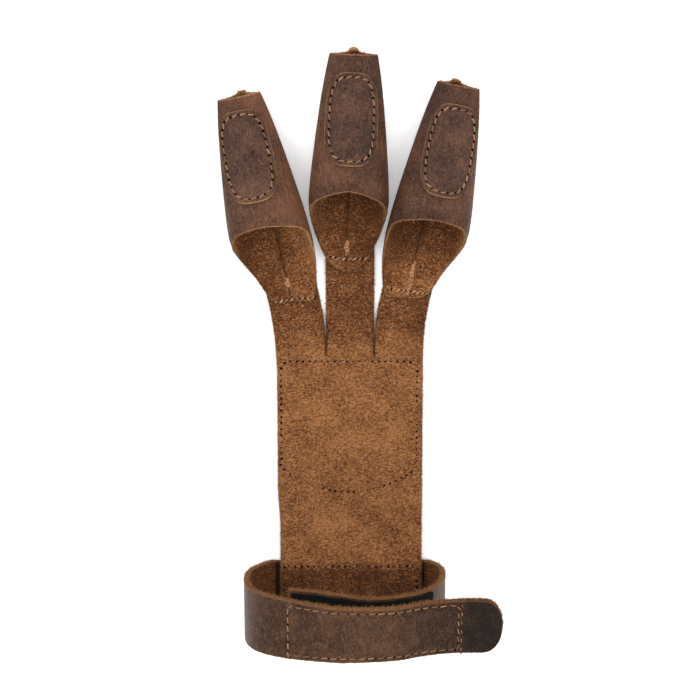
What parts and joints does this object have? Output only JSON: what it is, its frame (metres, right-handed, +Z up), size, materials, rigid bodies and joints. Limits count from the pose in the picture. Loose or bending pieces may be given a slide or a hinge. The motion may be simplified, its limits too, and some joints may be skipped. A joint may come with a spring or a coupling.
{
  "type": "archery glove",
  "caption": "Archery glove: a suede back-of-hand panel in strips carries rolled leather finger stalls with sewn pads, and a hook-and-loop wrist strap closes as a ring.",
  "frame": {"origin": "middle of the underside of the shield shaped back patch, which rests on the table", "axes": "+Y from the wrist to the fingertips, +Z up through the palm side, +X towards the strap's free end"},
  "size_m": [0.1119, 0.2346, 0.0566],
  "materials": {
    "suede": "orange brown flesh side suede, matt and mottled",
    "patch_leather": "waxed grain leather, satin",
    "stall_leather": "waxed pull-up grain leather, satin, worn lighter at folds",
    "pad_leather": "waxed grain leather, darker, satin",
    "strap_leather": "waxed grain leather, satin, suede inside",
    "hook_tape": "black woven tape with nylon hooks",
    "loop_tape": "black woven tape with brushed nylon loops"
  },
  "bodies": {
    "root": {"hand_panel": "suede", "back_patch": "patch_leather", "stall_left": "stall_leather", "stall_middle": "stall_leather", "stall_right": "stall_leather", "pad_left": "pad_leather", "pad_middle": "pad_leather", "pad_right": "pad_leather", "wrist_strap": "strap_leather", "hook_strip": "hook_tape", "loop_strip": "loop_tape"}
  },
  "joints": []
}
